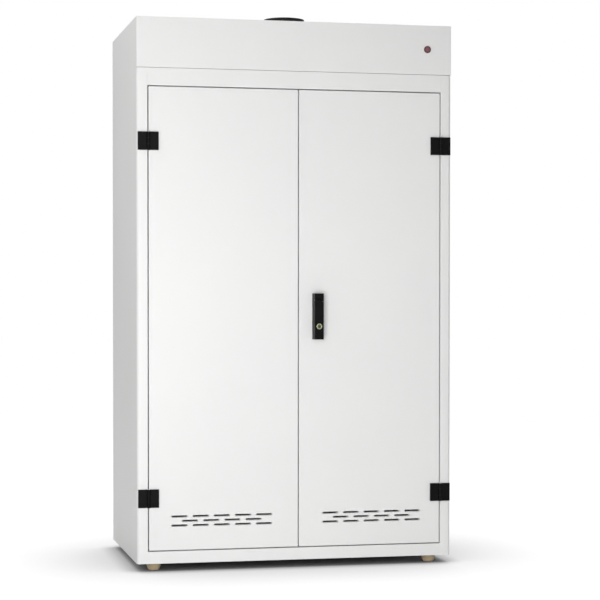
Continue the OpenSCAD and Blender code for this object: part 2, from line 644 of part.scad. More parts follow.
hub_low = -fan_len + motor_l + 2;      // underside of the hub, 2 above the motor
module fan_impeller() color("#55585c") set_in() translate([0, collar_y, fan_z + hub_low]) difference() {
    union() {
        cylinder(r = hub_r, h = hub_l);
        for (i = [0:blades - 1]) rotate([0, 0, i * 360 / blades]) translate([hub_r - 4, 0, hub_l / 2])
            rotate([32, 0, 0])
                box([0, -blade_w / 2, -1.2], [bore_r - blade_gap - hub_r + 3, blade_w / 2, 1.2]);
    }
    translate([0, 0, -1]) cylinder(r = shaft_r + pin_fit, h = hub_l + 2);
}
module fan_shaft() color("silver") set_in() translate([0, collar_y, fan_z - fan_len + 10.5])
    cylinder(r = shaft_r, h = hub_low + hub_l + fan_len - 12);
// Finger guard over the air inlet in the inner ceiling
module intake_grille() color("#2b2b2e") set_in() translate([0, collar_y, hz - 1.5]) {
    for (r = [14, 30, 46, bore_r]) difference() {
        cylinder(r = r + (r == bore_r ? 12 : 2), h = 1.5);
        translate([0, 0, -1]) cylinder(r = r - 2, h = 4);
    }
    for (a = [0, 90]) rotate([0, 0, a]) box([-bore_r, -1.5, 0], [bore_r, 1.5, 1.5]);
}

// ---- electrics in the head compartment ----
module cable_gland() color("#2b2b2e") set_in() translate([gland_x, gland_y, tz]) difference() {
    union() {
        cylinder(r = 14, h = 7, $fn = 6);
        translate([0, 0, 7]) cylinder(r = 11, h = 15);
        translate([0, 0, -14]) cylinder(r = 9.9, h = 15);
        translate([0, 0, -sheet_t - 5]) cylinder(r = 14, h = 5, $fn = 6);
    }
    translate([0, 0, -15]) cylinder(r = 4.5, h = 40);
}
term_y = gland_y - term_off;           // rear face of the terminal box
lead_y = term_y - term_d / 2;          // leads leave the box half way along its sides
lead_z = ceil_z + term_h / 2;
module terminal_box() color("#c9cbcc") set_in() difference() {
    box([gland_x - term_w / 2, term_y - term_d, ceil_z], [gland_x + term_w / 2, term_y, ceil_z + term_h]);
    box([gland_x - term_w / 2 + 2, term_y - term_d + 2, ceil_z + 2],
        [gland_x + term_w / 2 - 2, term_y - 2, ceil_z + term_h - 2]);
}
function bez(p, t) = p[0] * pow(1 - t, 3) + 3 * p[1] * t * pow(1 - t, 2)
    + 3 * p[2] * t * t * (1 - t) + p[3] * pow(t, 3);
function unit(v) = v / norm(v);
// Round lead along a smooth curve; side is a direction that the curve never follows
module lead(p, r, side, n) {
    path = [for (i = [0:n]) bez(p, i / n)];
    ring = [for (i = [0:n]) let (
        d = i == 0 ? unit(p[1] - p[0]) : i == n ? unit(p[3] - p[2]) : unit(path[i + 1] - path[i - 1]),
        u = unit(cross(side, d)), v = cross(d, u))
        for (k = [0:7]) path[i] + r * (cos(k * 45) * u + sin(k * 45) * v)];
    polyhedron(ring, concat([[7, 6, 5, 4, 3, 2, 1, 0]], [[for (k = [0:7]) n * 8 + k]],
        [for (i = [0:n - 1], k = [0:7]) [i * 8 + k, i * 8 + (k + 1) % 8, (i + 1) * 8 + (k + 1) % 8,
            (i + 1) * 8 + k]]), convexity = 6);
}
module inner_leads() color("#333333") set_in() {
    lead([[gland_x + term_w / 2, lead_y, lead_z], [gland_x + term_w / 2 + lead_out, lead_y, lead_z],
        [switch_x, switch_l + 2 * lead_out, sw_z], [switch_x, switch_l, sw_z]], lead_r, [0, 0, 1], 24);
    lead([[gland_x - term_w / 2, lead_y, lead_z], [gland_x - term_w / 2 - 1.5 * lead_out, lead_y, lead_z],
        [0, collar_y, fan_z - fan_len - 0.6 * lead_out], [0, collar_y, fan_z - fan_len]],
        lead_r, [1, -1, 0], 24);
}

// ---- inside fittings ----
module upright_strip(y) difference() {
    translate([0, 0, deck_z + 15]) linear_extrude(strip_top - deck_z - 15) polygon([
        [-hw + sheet_t, y - 15], [-up_x, y - 15], [-up_x, y + 15], [-hw + sheet_t, y + 15],
        [-hw + sheet_t, y + 13.5], [-up_x - 1.5, y + 13.5], [-up_x - 1.5, y - 13.5],
        [-hw + sheet_t, y - 13.5]]);
    for (k = [0:slots - 1]) box([-up_x - 3, y - 7, slot_z + k * slot_pitch],
        [-up_x + 1, y + 7, slot_z + k * slot_pitch + 5]);
}
module shelf_uprights() color("white") set_in() both_sides() {
    upright_strip(up_y1);
    upright_strip(up_y2);
}
module shelf_tray(z) difference() {
    box([-up_x + 1, shelf_front, z], [up_x - 1, body_d - tray_rear, z + shelf_rim]);
    box([-up_x + 1 + tray_t, shelf_front + tray_t, z + tray_t],
        [up_x - 1 - tray_t, body_d - tray_rear - tray_t, z + shelf_rim + 1]);
}
shelf_bottoms = [for (k = [shelf_slot_1, shelf_slot_2, shelf_slot_3]) slot_z + k * slot_pitch + 5];
module shelf_trays() color("white") set_in() for (z = shelf_bottoms) shelf_tray(z);
module shelf_clips() color("silver") set_in() both_sides()
    for (z = shelf_bottoms, y = [up_y1, up_y2]) {
        box([-up_x - 3, y - 6.5, z - 4.7], [-up_x, y + 6.5, z - 0.3]);
        box([-up_x, y - 8, z - 13], [-up_x + clip_l, y + 8, z]);
    }
module spill_tray() color("white") set_in() difference() {
    box([-hw + spill_in, spill_front, deck_z], [hw - spill_in, body_d - tray_rear, deck_z + spill_rim]);
    box([-hw + spill_in + tray_t, spill_front + tray_t, deck_z + tray_t],
        [hw - spill_in - tray_t, body_d - tray_rear - tray_t, deck_z + spill_rim + 1]);
}

// ---- feet and screws ----
module foot_places() for (x = [-hw + foot_in_x, hw - foot_in_x], y = [foot_in_y, body_d - foot_in_y])
    translate([x, y, 0]) children();
module feet() color("#a08e69") set_in() foot_places() {
    cylinder(r1 = foot_low_r, r2 = foot_top_r, h = foot_h);
    translate([0, 0, foot_h]) cylinder(r = 5, h = 18);
}
module foot_nuts() color("silver") set_in() foot_places() translate([0, 0, bz + sheet_t])
    difference() {
        cylinder(r = 9.2, h = 8, $fn = 6);
        translate([0, 0, -1]) cylinder(r = 5 + pin_fit, h = 10);
    }
module panel_screws() color("silver") set_in() {
    for (s = [-1, 1], z = back_screw_z) pan_screw_y(s * (hw - flange_w / 2), z, body_d, 5);
    for (s = [-1, 1], y = roof_screw_y) pan_screw_z(s * (hw - flange_w / 2), y, tz, 5);
}

left_side_panel();
right_side_panel();
back_panel();
base_panel();
floor_panel();
ceiling_panel();
roof_panel();
header_cover();
top_rail();
bottom_rail();
door_gasket();
left_door_skin();
left_door_liner();
left_door_stiffener();
right_door_skin();
right_door_liner();
right_door_stiffener();
left_frame_leaves();
right_frame_leaves();
left_door_leaves();
right_door_leaves();
hinge_pins();
frame_hinge_screws();
left_hinge_screws();
right_hinge_screws();
lock_base();
lock_gearbox();
lock_head();
lock_pinion();
lock_lever();
lever_pin();
key_cylinder();
key_plug();
upper_rod();
lower_rod();
rod_guides();
lock_screws();
upper_bolt_case();
upper_bolt();
lower_bolt_case();
lower_bolt();
switch_body();
switch_button();
switch_nut();
duct_collar();
fan_housing();
fan_impeller();
fan_shaft();
intake_grille();
cable_gland();
terminal_box();
inner_leads();
shelf_uprights();
shelf_trays();
shelf_clips();
spill_tray();
feet();
foot_nuts();
panel_screws();
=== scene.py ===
# White two-door reagent cabinet: softened sheet edges, fittings and finishes round the CAD frame
import json
import math

import bmesh
import bpy
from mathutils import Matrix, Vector


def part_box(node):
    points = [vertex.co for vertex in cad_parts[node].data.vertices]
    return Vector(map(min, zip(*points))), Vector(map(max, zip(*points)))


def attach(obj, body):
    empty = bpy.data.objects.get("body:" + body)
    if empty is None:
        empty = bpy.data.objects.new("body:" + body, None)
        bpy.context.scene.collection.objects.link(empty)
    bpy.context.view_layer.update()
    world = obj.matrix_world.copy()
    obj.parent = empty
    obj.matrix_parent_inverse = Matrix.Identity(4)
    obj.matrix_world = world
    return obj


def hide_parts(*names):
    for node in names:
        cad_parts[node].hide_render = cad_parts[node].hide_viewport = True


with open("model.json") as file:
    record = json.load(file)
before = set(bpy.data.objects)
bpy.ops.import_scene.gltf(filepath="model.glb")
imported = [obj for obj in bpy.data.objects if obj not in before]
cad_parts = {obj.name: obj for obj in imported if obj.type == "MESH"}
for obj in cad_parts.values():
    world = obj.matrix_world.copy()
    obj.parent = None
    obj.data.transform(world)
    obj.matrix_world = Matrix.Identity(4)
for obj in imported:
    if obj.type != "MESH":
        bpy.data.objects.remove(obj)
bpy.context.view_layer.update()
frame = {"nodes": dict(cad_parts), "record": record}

nodes = frame["nodes"]
mm = 0.001
touch = 0.1 * mm            # two faces or an edge and a face count as meeting within this
print("frame loaded:", len(nodes), "nodes")

# the camera's place and the lamps, in the frame's own metres
cameraSetup = {
    "place": (-1.2551, -5.9074, 0.8452),
    "yaw": 12.6825,        # degrees to the right of straight at the front
    "pitch": -1.2213,
    "roll": 0.0278,
    "lens": 111.12,
    "sensor": 36.0,
    "shiftY": 0.06,        # kept small, so that other views still take in the feet
    "farthest": 200,       # metres
}
lampSetup = {              # place, aim, width and height in metres, power in watts
    "keyLamp": ((-0.9, -3.0, 0.65), (-0.05, -0.28, 0.7), (1.4, 1.9), 61),
    "sideLamp": ((-1.7, -0.5, 2.7), (-0.5, 0.0, 1.3), (0.8, 0.8), 9),
    "backLamp": ((1.6, 4.0, 2.6), (0.0, 0.0, 0.9), (2.4, 2.4), 100),
}
worldStrength = 0.25


def deselectEverything():
    if bpy.context.object and bpy.context.object.mode != "OBJECT":
        bpy.ops.object.mode_set(mode="OBJECT")
    bpy.ops.object.select_all(action="DESELECT")


def makeActive(piece):
    deselectEverything()
    piece.select_set(True)
    bpy.context.view_layer.objects.active = piece


def applyModifiers(piece):
    makeActive(piece)
    for modifier in list(piece.modifiers):
        bpy.ops.object.modifier_apply(modifier=modifier.name)


meshSetup = {"weld": 0.002 * mm, "flatWithin": 0.3, "sharpFrom": 30}     # angles in degrees


def copyOfNode(nodeName, pieceName):
    # a welded copy of a CAD node, its flat triangles joined up again
    piece = bpy.data.objects.new(pieceName, nodes[nodeName].data.copy())
    bpy.context.scene.collection.objects.link(piece)
    makeActive(piece)
    bpy.ops.object.mode_set(mode="EDIT")
    bpy.ops.mesh.select_all(action="SELECT")
    bpy.ops.mesh.remove_doubles(threshold=meshSetup["weld"])
    bpy.ops.mesh.dissolve_limited(angle_limit=math.radians(meshSetup["flatWithin"]))
    bpy.ops.mesh.select_all(action="DESELECT")
    bpy.ops.object.mode_set(mode="OBJECT")
    return piece


def roundPicked(piece, pick, width, segments):
    # bevels only the edges for which pick(middle, edge) holds
    makeActive(piece)
    bpy.ops.object.mode_set(mode="EDIT")
    bpy.ops.mesh.select_mode(type="EDGE")
    bpy.ops.mesh.select_all(action="DESELECT")
    cage = bmesh.from_edit_mesh(piece.data)
    for edge in cage.edges:
        if len(edge.link_faces) != 2 or edge.calc_face_angle(0.0) < math.radians(meshSetup["sharpFrom"]):
            continue
        if pick((edge.verts[0].co + edge.verts[1].co) / 2, edge):
            edge.select_set(True)
    bmesh.update_edit_mesh(piece.data)
    bpy.ops.mesh.bevel(offset=width, segments=segments, profile=0.5, affect="EDGES",
                       clamp_overlap=True)
    bpy.ops.mesh.select_mode(type="VERT")
    bpy.ops.object.mode_set(mode="OBJECT")


def roundAll(piece, width, segments=2, angle=35):
    bevel = piece.modifiers.new("edges", "BEVEL")
    bevel.width = width
    bevel.segments = segments
    bevel.limit_method = "ANGLE"
    bevel.angle_limit = math.radians(angle)
    bevel.use_clamp_overlap = True
    applyModifiers(piece)


def smoothFinish(piece, angle=38):
    makeActive(piece)
    bpy.ops.object.shade_smooth_by_angle(angle=math.radians(angle))
    weighted = piece.modifiers.new("flatFaces", "WEIGHTED_NORMAL")
    weighted.keep_sharp = True
    applyModifiers(piece)


def dress(piece, material, body, nodeName):
    piece.data.materials.clear()
    piece.data.materials.append(material)
    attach(piece, body)
    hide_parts(nodeName)


def newGroup(name, inputs, outputs):
    group = bpy.data.node_groups.new(name, "ShaderNodeTree")
    for socketName, kind, value in inputs:
        made = group.interface.new_socket(socketName, in_out="INPUT", socket_type=kind)
        if value is not None:
            made.default_value = value
    for socketName, kind in outputs:
        group.interface.new_socket(socketName, in_out="OUTPUT", socket_type=kind)
    return group, group.nodes.new("NodeGroupInput"), group.nodes.new("NodeGroupOutput")


noiseSetup = {
    "usualBand": (0.3, 0.7),       # where most of a noise's values lie
    "dustFrom": 0.6,               # how far up a face has to look to hold dust
    "scratchScale": 420.0,
    "scratchFrom": 0.68,           # noise over this is a scratch
    "scratchShare": 0.3,
    "lineDepth": 0.02 * mm,
}
metalMottle = {"Roll Scale": 90.0, "Grain Scale": 700.0, "Grain Share": 0.5, "Mottle Scale": 45.0}


def noiseIn(tree, vector, scale, detail, rough=0.5):
    noise = tree.nodes.new("ShaderNodeTexNoise")
    noise.inputs["Detail"].default_value = detail
    noise.inputs["Roughness"].default_value = rough
    tree.links.new(vector, noise.inputs["Vector"])
    if isinstance(scale, (int, float)):
        noise.inputs["Scale"].default_value = scale
    else:
        tree.links.new(scale, noise.inputs["Scale"])
    return noise


def mathIn(tree, operation, first, second=None, clamp=False):
    node = tree.nodes.new("ShaderNodeMath")
    node.operation = operation
    node.use_clamp = clamp
    for index, value in enumerate((first, second)):
        if value is None:
            continue
        if isinstance(value, (int, float)):
            node.inputs[index].default_value = value
        else:
            tree.links.new(value, node.inputs[index])
    return node.outputs[0]


def buildCoatingGrain():
    # sprayed or moulded skin: a rolling height with a fine grain on top, and a slow mottling
    group, into, out = newGroup(
        "coatingGrain",
        [("Vector", "NodeSocketVector", None), ("Roll Scale", "NodeSocketFloat", 400.0),
         ("Grain Scale", "NodeSocketFloat", 1800.0), ("Grain Share", "NodeSocketFloat", 0.35),
         ("Mottle Scale", "NodeSocketFloat", 3.0)],
        [("Height", "NodeSocketFloat"), ("Mottle", "NodeSocketFloat")])
    roll = noiseIn(group, into.outputs["Vector"], into.outputs["Roll Scale"], 2.0)
    grain = noiseIn(group, into.outputs["Vector"], into.outputs["Grain Scale"], 2.0)
    mottle = noiseIn(group, into.outputs["Vector"], into.outputs["Mottle Scale"], 4.0, 0.6)
    share = mathIn(group, "MULTIPLY", grain.outputs["Fac"], into.outputs["Grain Share"])
    group.links.new(mathIn(group, "ADD", roll.outputs["Fac"], share), out.inputs["Height"])
    group.links.new(mottle.outputs["Fac"], out.inputs["Mottle"])
    return group


def buildSettledDust():
    # a thin grey film where faces look up, broken by noise
    group, into, out = newGroup(
        "settledDust",
        [("Vector", "NodeSocketVector", None), ("Cover", "NodeSocketFloat", 0.3),
         ("Patch Scale", "NodeSocketFloat", 14.0)],
        [("Mask", "NodeSocketFloat")])
    geometry = group.nodes.new("ShaderNodeNewGeometry")
    split = group.nodes.new("ShaderNodeSeparateXYZ")
    group.links.new(geometry.outputs["Normal"], split.inputs[0])
    upward = mathIn(group, "SUBTRACT", split.outputs["Z"], noiseSetup["dustFrom"], True)
    patches = noiseIn(group, into.outputs["Vector"], into.outputs["Patch Scale"], 5.0, 0.65)
    broken = mathIn(group, "MULTIPLY", upward, patches.outputs["Fac"])
    group.links.new(mathIn(group, "MULTIPLY", broken, into.outputs["Cover"], True), out.inputs["Mask"])
    return group


def buildBrushedLines():
    # fine lines along one direction, for plated or turned metal
    group, into, out = newGroup(
        "brushedLines",
        [("Vector", "NodeSocketVector", None), ("Stretch", "NodeSocketVector", (1.0, 1.0, 40.0)),
         ("Line Scale", "NodeSocketFloat", 60.0)],
        [("Lines", "NodeSocketFloat"), ("Scratches", "NodeSocketFloat")])
    stretch = group.nodes.new("ShaderNodeVectorMath")
    stretch.operation = "MULTIPLY"
    group.links.new(into.outputs["Vector"], stretch.inputs[0])
    group.links.new(into.outputs["Stretch"], stretch.inputs[1])
    lines = noiseIn(group, stretch.outputs[0], into.outputs["Line Scale"], 6.0, 0.7)
    scratch = noiseIn(group, stretch.outputs[0], noiseSetup["scratchScale"], 2.0, 0.8)
    marked = mathIn(group, "GREATER_THAN", scratch.outputs["Fac"], noiseSetup["scratchFrom"])
    group.links.new(lines.outputs["Fac"], out.inputs["Lines"])
    group.links.new(marked, out.inputs["Scratches"])
    return group


coatingGrain = buildCoatingGrain()
settledDust = buildSettledDust()
brushedLines = buildBrushedLines()
print("shader groups built")


def startMaterial(name, setup):
    material = bpy.data.materials.new(name)
    material.use_nodes = True
    tree = material.node_tree
    shader = tree.nodes["Principled BSDF"]
    coords = tree.nodes.new("ShaderNodeTexCoord").outputs["Object"]
    shader.inputs["Metallic"].default_value = setup.get("metallic", 0.0)
    shader.inputs["Specular IOR Level"].default_value = setup.get("specular", 0.5)
    shader.inputs["Coat Weight"].default_value = setup.get("coat", 0.0)
    shader.inputs["Coat Roughness"].default_value = setup.get("coatRoughness", 0.15)
    return material, tree, shader, coords


def placeGroup(tree, group, coords, values):
    node = tree.nodes.new("ShaderNodeGroup")
    node.node_tree = group
    tree.links.new(coords, node.inputs["Vector"])
    for socketName, value in values.items():
        node.inputs[socketName].default_value = value
    return node


def blendColours(tree, factor, first, second):
    mix = tree.nodes.new("ShaderNodeMix")
    mix.data_type = "RGBA"
    tree.links.new(factor, mix.inputs["Factor"])
    for socket, colour in ((mix.inputs["A"], first), (mix.inputs["B"], second)):
        if isinstance(colour, tuple):
            socket.default_value = (*colour, 1.0)
        else:
            tree.links.new(colour, socket)
    return mix.outputs["Result"]


def spread(tree, factor, low, high):
    # stretches a noise's usual band over low to high
    node = tree.nodes.new("ShaderNodeMapRange")
    tree.links.new(factor, node.inputs["Value"])
    node.inputs["From Min"].default_value, node.inputs["From Max"].default_value = noiseSetup["usualBand"]
    node.inputs["To Min"].default_value = low
    node.inputs["To Max"].default_value = high
    return node.outputs["Result"]


def bumpFrom(tree, height, strength, distance):
    bump = tree.nodes.new("ShaderNodeBump")
    bump.inputs["Strength"].default_value = strength
    bump.inputs["Distance"].default_value = distance
    tree.links.new(height, bump.inputs["Height"])
    return bump.outputs["Normal"]


def coatedFinish(name, setup):
    # powder coat, paint or moulded plastic: two near shades, grain, dust on top faces
    material, tree, shader, coords = startMaterial(name, setup)
    grain = placeGroup(tree, coatingGrain, coords, {
        "Roll Scale": setup["roll"], "Grain Scale": setup["grain"],
        "Grain Share": setup["share"], "Mottle Scale": setup["mottle"]})
    shade = blendColours(tree, spread(tree, grain.outputs["Mottle"], 0.0, 1.0),
                         setup["shadeA"], setup["shadeB"])
    dust = placeGroup(tree, settledDust, coords, {"Cover": setup["dust"]})
    shade = blendColours(tree, dust.outputs["Mask"], shade, setup["dustShade"])
    tree.links.new(shade, shader.inputs["Base Color"])
    tree.links.new(spread(tree, grain.outputs["Mottle"], setup["roughLow"], setup["roughHigh"]),
                   shader.inputs["Roughness"])
    tree.links.new(bumpFrom(tree, grain.outputs["Height"], setup["bump"], setup["depth"]),
                   shader.inputs["Normal"])
    return material


def metalFinish(name, setup):
    # plated or turned metal: two near shades, fine lines and a few scratches
    material, tree, shader, coords = startMaterial(name, setup)
    lines = placeGroup(tree, brushedLines, coords, {
        "Stretch": setup["stretch"], "Line Scale": setup["lines"]})
    grain = placeGroup(tree, coatingGrain, coords, metalMottle)
    shade = blendColours(tree, spread(tree, grain.outputs["Mottle"], 0.0, 1.0),
                         setup["shadeA"], setup["shadeB"])
    scratched = mathIn(tree, "MULTIPLY", lines.outputs["Scratches"], noiseSetup["scratchShare"])
    shade = blendColours(tree, scratched, shade, setup["scratchShade"])
    tree.links.new(shade, shader.inputs["Base Color"])
    tree.links.new(spread(tree, lines.outputs["Lines"], setup["roughLow"], setup["roughHigh"]),
                   shader.inputs["Roughness"])
    tree.links.new(bumpFrom(tree, lines.outputs["Lines"], setup["bump"], noiseSetup["lineDepth"]),
                   shader.inputs["Normal"])
    return material


whiteCoatSetup = {
    "shadeA": (0.865, 0.868, 0.862), "shadeB": (0.89, 0.89, 0.88), "mottle": 2.2,
    "roll": 520.0, "grain": 2100.0, "share": 0.35, "bump": 0.18, "depth": 0.05 * mm,
    "roughLow": 0.36, "roughHigh": 0.45, "dust": 0.25, "dustShade": (0.62, 0.61, 0.59)}
blackCoatSetup = {
    "shadeA": (0.0035, 0.0035, 0.0038), "shadeB": (0.006, 0.006, 0.0065), "mottle": 30.0,
    "roll": 900.0, "grain": 3200.0, "share": 0.6, "bump": 0.3, "depth": 0.04 * mm, "specular": 0.06,
    "roughLow": 0.34, "roughHigh": 0.46, "dust": 0.06, "dustShade": (0.2, 0.2, 0.2)}
blackPlasticSetup = {
    "shadeA": (0.015, 0.015, 0.016), "shadeB": (0.024, 0.024, 0.025), "mottle": 25.0,
    "roll": 700.0, "grain": 2600.0, "share": 0.7, "bump": 0.35, "depth": 0.05 * mm, "specular": 0.15,
    "roughLow": 0.45, "roughHigh": 0.6, "dust": 0.2, "dustShade": (0.25, 0.24, 0.23)}
tanPlasticSetup = {
    "shadeA": (0.46, 0.36, 0.23), "shadeB": (0.54, 0.43, 0.28), "mottle": 60.0,
    "roll": 600.0, "grain": 2400.0, "share": 0.6, "bump": 0.3, "depth": 0.06 * mm,
    "roughLow": 0.42, "roughHigh": 0.58, "dust": 0.2, "dustShade": (0.45, 0.41, 0.35)}
darkRingSetup = {
    "shadeA": (0.034, 0.009, 0.012), "shadeB": (0.048, 0.013, 0.017), "mottle": 90.0,
    "roll": 300.0, "grain": 1500.0, "share": 0.3, "bump": 0.08, "depth": 0.03 * mm,
    "roughLow": 0.2, "roughHigh": 0.3, "dust": 0.1, "dustShade": (0.2, 0.15, 0.15)}
redCapSetup = {
    "shadeA": (0.175, 0.045, 0.06), "shadeB": (0.215, 0.06, 0.078), "mottle": 120.0,
    "roll": 300.0, "grain": 1300.0, "share": 0.3, "bump": 0.08, "depth": 0.03 * mm,
    "roughLow": 0.16, "roughHigh": 0.26, "dust": 0.1, "dustShade": (0.3, 0.2, 0.2),
    "coat": 0.35, "coatRoughness": 0.08}
rubberSetup = {
    "shadeA": (0.055, 0.055, 0.056), "shadeB": (0.085, 0.085, 0.086), "mottle": 18.0,
    "roll": 500.0, "grain": 1900.0, "share": 0.8, "bump": 0.45, "depth": 0.08 * mm,
    "roughLow": 0.7, "roughHigh": 0.85, "dust": 0.3, "dustShade": (0.22, 0.21, 0.2)}
greyPlasticSetup = {
    "shadeA": (0.5, 0.51, 0.52), "shadeB": (0.56, 0.57, 0.58), "mottle": 20.0,
    "roll": 500.0, "grain": 1900.0, "share": 0.6, "bump": 0.3, "depth": 0.05 * mm,
    "roughLow": 0.5, "roughHigh": 0.62, "dust": 0.25, "dustShade": (0.4, 0.39, 0.37)}
zincSetup = {
    "metallic": 1.0, "shadeA": (0.56, 0.57, 0.57), "shadeB": (0.68, 0.68, 0.67),
    "scratchShade": (0.8, 0.8, 0.8), "stretch": (1.0, 1.0, 30.0), "lines": 9.0,
    "roughLow": 0.3, "roughHigh": 0.48, "bump": 0.15}
brassSetup = {
    "metallic": 1.0, "shadeA": (0.3, 0.32, 0.22), "shadeB": (0.37, 0.39, 0.28),
    "scratchShade": (0.5, 0.5, 0.4), "stretch": (30.0, 1.0, 1.0), "lines": 30.0,
    "roughLow": 0.2, "roughHigh": 0.36, "bump": 0.2}
# a darker brass for the key plug than for the ring round it
darkPlugBrassSetup = {
    "metallic": 1.0, "shadeA": (0.085, 0.095, 0.042), "shadeB": (0.12, 0.13, 0.07),
    "scratchShade": (0.3, 0.3, 0.2), "stretch": (1.0, 30.0, 1.0), "lines": 30.0,
    "roughLow": 0.3, "roughHigh": 0.5, "bump": 0.25}

whiteCoat = coatedFinish("whitePowderCoat", whiteCoatSetup)
blackCoat = coatedFinish("blackSatinCoat", blackCoatSetup)
blackPlastic = coatedFinish("blackMouldedPlastic", blackPlasticSetup)
tanPlastic = coatedFinish("tanFootPlastic", tanPlasticSetup)
darkRing = coatedFinish("darkSwitchRing", darkRingSetup)
redCap = coatedFinish("redSwitchCap", redCapSetup)
rubber = coatedFinish("greyGasketRubber", rubberSetup)
greyPlastic = coatedFinish("greyBoxPlastic", greyPlasticSetup)
zincSteel = metalFinish("zincPlatedSteel", zincSetup)
keyBrass = metalFinish("nickelledBrass", brassSetup)
darkPlugBrass = metalFinish("darkKeyPlugBrass", darkPlugBrassSetup)
slotFinish = {
    "white_powder_coat": whiteCoat, "black_powder_coat": blackCoat, "black_plastic": blackPlastic,
    "tan_plastic": tanPlastic, "dark_plastic_ring": darkRing, "red_plastic": redCap,
    "grey_rubber": rubber, "grey_plastic": greyPlastic, "zinc_plated_steel": zincSteel,
    "brass_key": keyBrass}
nodeFinish = {"key_plug": darkPlugBrass}     # nodes that look different from the rest of their slot
print("finishes built:", len(slotFinish) + len(nodeFinish))


# every CAD node gets its slot's finish, whether it stays or is replaced below
slotOfNode = {part["node"]: part["material_slot"] for part in frame["record"]["subparts"]}
bodyOfNode = {}
for bodyName, members in frame["record"]["behaviour"]["bodies"].items():
    for member in members:
        bodyOfNode[member] = bodyName
for nodeName, node in nodes.items():
    node.data.materials.clear()
    node.data.materials.append(slotFinish[slotOfNode[nodeName]])


def dressNode(piece, nodeName):
    slotName = slotOfNode[nodeName]
    finish = nodeFinish.get(nodeName, slotFinish[slotName])
    dress(piece, finish, bodyOfNode[nodeName], nodeName)


# folded sheet: the visible folds are rounded, cut edges only broken
sheetEdges = {"doorFold": 1.4 * mm, "headerFold": 0.5 * mm, "postFold": 0.9 * mm, "foldSegments": 4,
              "cut": 0.25 * mm, "railCut": 0.2 * mm, "innerCut": 0.35 * mm, "cutSegments": 2,
              "cutFrom": 50,              # degrees
              "cornerReach": 3 * mm, "postLength": 0.5}     # the post's upright edges are longer than this


def softenSheet(nodeName, pieceName, cutWidth, foldTest=None, foldWidth=0.0):
    piece = copyOfNode(nodeName, pieceName)
    if foldTest:
        roundPicked(piece, foldTest, foldWidth, sheetEdges["foldSegments"])
    roundAll(piece, cutWidth, sheetEdges["cutSegments"], sheetEdges["cutFrom"])
    smoothFinish(piece)
    dressNode(piece, nodeName)


for nodeName, pieceName in (("left_door_skin", "leftDoorSkin"), ("right_door_skin", "rightDoorSkin")):
    doorLow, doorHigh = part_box(nodeName)

    def doorFold(middle, edge):
        # the front face's outline, apart from the slots
        nearOutline = any(min(abs(middle[axis] - doorLow[axis]), abs(middle[axis] - doorHigh[axis]))
                          < sheetEdges["cornerReach"] for axis in (0, 2))
        return nearOutline and abs(middle.y - doorLow[1]) < touch

    softenSheet(nodeName, pieceName, sheetEdges["cut"], doorFold, sheetEdges["doorFold"])
print("doors softened")

headerLow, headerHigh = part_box("header_cover")
frontFace = headerLow[1]


def headerFold(middle, edge):
    atTopOrSeam = min(abs(middle.z - headerLow[2]), abs(middle.z - headerHigh[2])) < touch
    return atTopOrSeam and abs(middle.y - frontFace) < touch


def postFold(middle, edge):
    upright = abs(edge.verts[0].co.z - edge.verts[1].co.z) > sheetEdges["postLength"]
    return upright and abs(middle.y - frontFace) < touch


softenSheet("header_cover", "headerCover", sheetEdges["cut"], headerFold, sheetEdges["headerFold"])
for nodeName, pieceName in (("left_side_panel", "leftSidePanel"),
                            ("right_side_panel", "rightSidePanel")):
    softenSheet(nodeName, pieceName, sheetEdges["cut"], postFold, sheetEdges["postFold"])
for nodeName, pieceName in (("top_rail", "topRail"), ("bottom_rail", "bottomRail")):
    softenSheet(nodeName, pieceName, sheetEdges["railCut"])
for nodeName, pieceName in (
        ("roof_panel", "roofPanel"), ("back_panel", "backPanel"), ("base_panel", "basePanel"),
        ("spill_tray", "spillTray"), ("shelf_trays", "shelfTrays"), ("floor_panel", "floorPanel"),
        ("left_door_liner", "leftDoorLiner"), ("right_door_liner", "rightDoorLiner")):
    softenSheet(nodeName, pieceName, sheetEdges["innerCut"])
print("body sheets softened")


# each fitting's new name, the width of its broken edges and their segments
fittingEdges = {
    "left_frame_leaves": ("leftFrameLeaves", 0.7 * mm, 3),
    "right_frame_leaves": ("rightFrameLeaves", 0.7 * mm, 3),
    "left_door_leaves": ("leftDoorLeaves", 0.7 * mm, 3),
    "right_door_leaves": ("rightDoorLeaves", 0.7 * mm, 3),
    "hinge_pins": ("hingePins", 0.4 * mm, 2), "lock_base": ("lockBase", 1.0 * mm, 3),
    "lock_head": ("lockHead", 0.9 * mm, 3), "lock_lever": ("lockLever", 0.9 * mm, 3),
    "lever_pin": ("leverPin", 0.2 * mm, 2), "key_cylinder": ("keyCylinder", 0.5 * mm, 3),
    "key_plug": ("keyPlug", 0.25 * mm, 2), "upper_bolt_case": ("upperBoltCase", 0.8 * mm, 3),
    "lower_bolt_case": ("lowerBoltCase", 0.8 * mm, 3), "upper_bolt": ("upperBolt", 0.6 * mm, 3),
    "lower_bolt": ("lowerBolt", 0.6 * mm, 3), "upper_rod": ("upperRod", 0.8 * mm, 3),
    "lower_rod": ("lowerRod", 0.8 * mm, 3), "rod_guides": ("rodGuides", 0.6 * mm, 2),
    "duct_collar": ("ductCollar", 0.9 * mm, 3), "fan_housing": ("fanHousing", 0.6 * mm, 2),
    "intake_grille": ("intakeGrille", 0.4 * mm, 2), "cable_gland": ("cableGland", 0.6 * mm, 2),
    "terminal_box": ("terminalBox", 1.5 * mm, 3), "shelf_clips": ("shelfClips", 0.6 * mm, 2),
    "door_gasket": ("doorGasket", 0.5 * mm, 3),
}
for nodeName, (pieceName, width, segments) in fittingEdges.items():
    piece = copyOfNode(nodeName, pieceName)
    roundAll(piece, width, segments, 40)
    smoothFinish(piece)
    dressNode(piece, nodeName)
print("fittings rounded:", len(fittingEdges))

